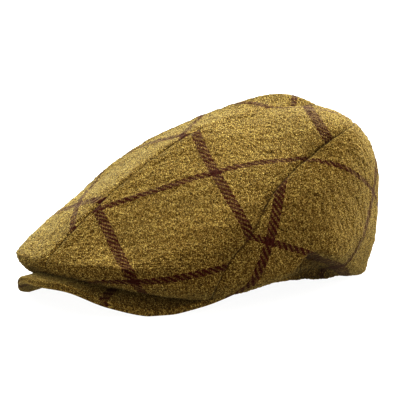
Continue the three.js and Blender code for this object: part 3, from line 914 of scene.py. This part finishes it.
def heatherTone(nodes, spec, weave, yarns, tuft):
    # how pale each place is: each yarn is spun from several colours that run along it
    calc, place = nodes.calc, nodes.place
    aside, along = spec["spinAside"], spec["spinAlong"]
    alongWarp = place(calc("MULTIPLY", yarns.warp, aside), calc("MULTIPLY", yarns.weftAt, along), 3.0)
    alongWeft = place(calc("MULTIPLY", yarns.warpAt, along), calc("MULTIPLY", yarns.weft, aside), 57.0)
    yarnPlace = nodes.add("ShaderNodeMix", {0: yarns.weftOver, 4: alongWarp, 5: alongWeft},
                          data_type="VECTOR")
    spun = nodes.noise(yarnPlace.outputs[1], 1.0, 2.0, 0.6)
    fleck = nodes.add("ShaderNodeTexWhiteNoise", {"Vector": place(yarns.warp, yarns.weft)},
                      noise_dimensions="3D").outputs[0]
    fibres = nodes.noise(weave, spec["fibreScale"], 2.0)
    tone = calc("ADD", calc("MULTIPLY", spun, spec["spun"]),
                calc("MULTIPLY_ADD", tuft, spec["tuft"], spec["tuftLow"]))
    tone = calc("ADD", tone, calc("MULTIPLY", calc("SUBTRACT", fleck, 0.5), spec["yarnFleck"]))
    tone = calc("ADD", tone, calc("MULTIPLY", calc("SUBTRACT", fibres, 0.5), spec["fibreFleck"]))
    # the hem's wear, and painted shade beside the seams and in the tuck
    wearAndShade = nodes.add("ShaderNodeSeparateXYZ", {0: weave}).outputs[2]
    return calc("MULTIPLY_ADD", wearAndShade, spec["wearAndShadeStrength"], tone)


def clothColour(nodes, spec, tone, line):
    ramp = nodes.add("ShaderNodeValToRGB", {0: tone})
    stops = ramp.color_ramp.elements
    while len(stops) < len(spec["heather"]):
        stops.new(0.5)
    for stop, (at, colour) in zip(stops, spec["heather"]):
        stop.position = at
        stop.color = (*colour, 1)
    dark = nodes.blendColour(tone, (*spec["lineDark"], 1), (*spec["lineLight"], 1))
    colour = nodes.blendColour(line, ramp.outputs[0], dark)
    # slow patches of lighter and darker cloth
    spot = nodes.add("ShaderNodeTexCoord").outputs["Object"]
    patchy = nodes.noise(spot, spec["mottleScale"], 3.0)
    patchy = nodes.calc("MULTIPLY_ADD", patchy, spec["mottle"] * 2, 1 - spec["mottle"])
    return nodes.blendColour(1.0, colour, nodes.place(patchy, patchy, patchy), "MULTIPLY")


def clothRelief(nodes, spec, weave, yarns):
    # the yarns stand up round, under a thin nap
    calc, blend = nodes.calc, nodes.blend
    warpPart, weftPart = calc("FRACT", yarns.warpAt), calc("FRACT", yarns.weftAt)
    across = blend(yarns.weftOver, warpPart, weftPart)
    run = blend(yarns.weftOver, weftPart, warpPart)
    run = calc("MULTIPLY", calc("ADD", calc("FLOORED_MODULO", yarns.step, 2.0), run), math.pi / 2)
    offMiddle = calc("ABSOLUTE", calc("MULTIPLY_ADD", across, 2.0, -1.0))
    roundness = calc("SUBTRACT", 1.0, calc("POWER", offMiddle, 2.0))
    high = calc("MULTIPLY", roundness, calc("SQRT", calc("MAXIMUM", calc("SINE", run), 0.0)))
    nap = nodes.noise(weave, spec["napScale"], 4.0, 0.65)
    high = calc("ADD", high, calc("MULTIPLY", nap, spec["nap"]))
    return nodes.add("ShaderNodeBump", {"Strength": spec["bumpShare"], "Height": high,
                                        "Distance": spec["yarnHigh"] / 1000}).outputs[0]


def clothMaterial(name, spec):
    material = bpy.data.materials.new(name)
    material.use_nodes = True
    material.node_tree.nodes.clear()
    nodes = nodeTools(material.node_tree)
    weave = nodes.add("ShaderNodeAttribute", attribute_name="weave").outputs["Vector"]
    yarns = layYarns(nodes, spec, weave)
    tuft = nodes.noise(weave, spec["tuftScale"], 3.0, 0.6)
    tone = heatherTone(nodes, spec, weave, yarns, tuft)
    colour = clothColour(nodes, spec, tone, checkLines(nodes, spec, weave, yarns))
    smooth, rough = spec["roughness"]
    shader = nodes.add("ShaderNodeBsdfPrincipled", {
        "Base Color": colour, "Roughness": nodes.blend(tuft, rough, smooth),
        "Normal": clothRelief(nodes, spec, weave, yarns), "Specular IOR Level": spec["specular"],
        "Sheen Weight": spec["sheen"], "Sheen Roughness": spec["sheenRoughness"],
        "Sheen Tint": spec["sheenTint"]})
    nodes.add("ShaderNodeOutputMaterial", {"Surface": shader.outputs[0]})
    return material


woolMaterial = clothMaterial("wool_check_cloth", woolCheck)
print("cloth material made")
for panelSpec in (leftTop, rightTop, leftBand, rightBand):
    buildPanel(panelSpec, woolMaterial)
buildPeak(woolMaterial)
print("panels and peak built")

# The table, the lamps and the camera.
studio = {
    "floorSize": 40.0, "floorColour": (0.08, 0.08, 0.08, 1), "floorRoughness": 0.9, "floorSpecular": 0.1,
    "floorGlow": 0.56,        # a light table, so that the floor stays pale under the cap
    "horizonGlow": 0.55, "horizonRise": (6, 14),    # white up to here, then falling to the dim room
    "roomGlow": 0.08,
    # soft lamps: name, turn and rise and spread in degrees, power, colour
    "lamps": [
        ("behind", -150, 35, 90, 8.9, (0.95, 1, 1.04)),
        ("far_side", -78, 28, 90, 2.7, (0.95, 1, 1)),
        ("near_side", 150, 20, 80, 3.1, (1, 0.96, 0.88)),
        ("overhead", 0, 88, 90, 1.0, (0.95, 1, 1)),
        ("low_front", 10, 6, 40, 0.9, (1, 0.9, 0.8)),
    ],
    "lampAway": 1.5,
    "exposure": 0.78, "contrast": 0.7,
    "cameraTurn": 48, "cameraRise": 9, "cameraAway": 1.3, "cameraLens": 169.6, "cameraSensor": 36,
    "cameraTarget": (0, 0.0003, 0.058),
}


def aim(turn, rise):
    # the direction that lies this far round from the front and this far up
    turn, rise = math.radians(turn), math.radians(rise)
    level = math.cos(rise)
    return mathutils.Vector((math.sin(turn) * level, -math.cos(turn) * level, math.sin(rise)))


def standFacing(holder, target, away):
    # sets a lamp or the camera this far from its target, looking at it
    holder.location = mathutils.Vector(target) + away
    holder.rotation_euler = (-away).to_track_quat("-Z", "Y").to_euler()
    bpy.context.scene.collection.objects.link(holder)


def layTable(spec):
    half = spec["floorSize"] / 2
    mesh = bpy.data.meshes.new("table_top")
    corners = [(-half, -half, 0), (half, -half, 0), (half, half, 0), (-half, half, 0)]
    mesh.from_pydata(corners, [], [(0, 1, 2, 3)])
    paint = bpy.data.materials.new("table_white")
    paint.use_nodes = True
    shader = paint.node_tree.nodes["Principled BSDF"]
    shader.inputs["Base Color"].default_value = spec["floorColour"]
    shader.inputs["Roughness"].default_value = spec["floorRoughness"]
    shader.inputs["Specular IOR Level"].default_value = spec["floorSpecular"]
    shader.inputs["Emission Color"].default_value = (1, 1, 1, 1)
    shader.inputs["Emission Strength"].default_value = spec["floorGlow"]
    mesh.materials.append(paint)
    floor = bpy.data.objects.new("table_top", mesh)
    bpy.context.scene.collection.objects.link(floor)


def lightRoom(spec):
    world = bpy.data.worlds.new("soft_room")
    world.use_nodes = True
    tree = world.node_tree
    way = tree.nodes.new("ShaderNodeTexCoord").outputs["Generated"]
    split = tree.nodes.new("ShaderNodeSeparateXYZ")
    tree.links.new(way, split.inputs[0])
    fade = tree.nodes.new("ShaderNodeMapRange")
    tree.links.new(split.outputs[2], fade.inputs[0])
    low, high = (math.sin(math.radians(rise)) for rise in spec["horizonRise"])
    for slot, value in enumerate((low, high, spec["horizonGlow"], spec["roomGlow"])):
        fade.inputs[slot + 1].default_value = value
    tree.nodes["Background"].inputs[0].default_value = (1, 1, 1, 1)
    tree.links.new(fade.outputs[0], tree.nodes["Background"].inputs[1])
    bpy.context.scene.world = world
    for name, turn, rise, spread, power, colour in spec["lamps"]:
        lamp = bpy.data.lights.new(name, "SUN")
        lamp.angle = math.radians(spread)
        lamp.energy = power
        lamp.color = colour
        standFacing(bpy.data.objects.new(name, lamp), (0, 0, 0), aim(turn, rise) * spec["lampAway"])


def setCamera(spec):
    lens = bpy.data.cameras.new("studio_camera")
    lens.lens = spec["cameraLens"]
    lens.sensor_width = spec["cameraSensor"]
    camera = bpy.data.objects.new("studio_camera", lens)
    away = aim(spec["cameraTurn"], spec["cameraRise"]) * spec["cameraAway"]
    standFacing(camera, spec["cameraTarget"], away)
    scene = bpy.context.scene
    scene.camera = camera
    scene.view_settings.view_transform = "Standard"
    scene.view_settings.look = "None"
    scene.view_settings.exposure = spec["exposure"]
    scene.view_settings.gamma = spec["contrast"]


layTable(studio)
lightRoom(studio)
setCamera(studio)
print("studio set")
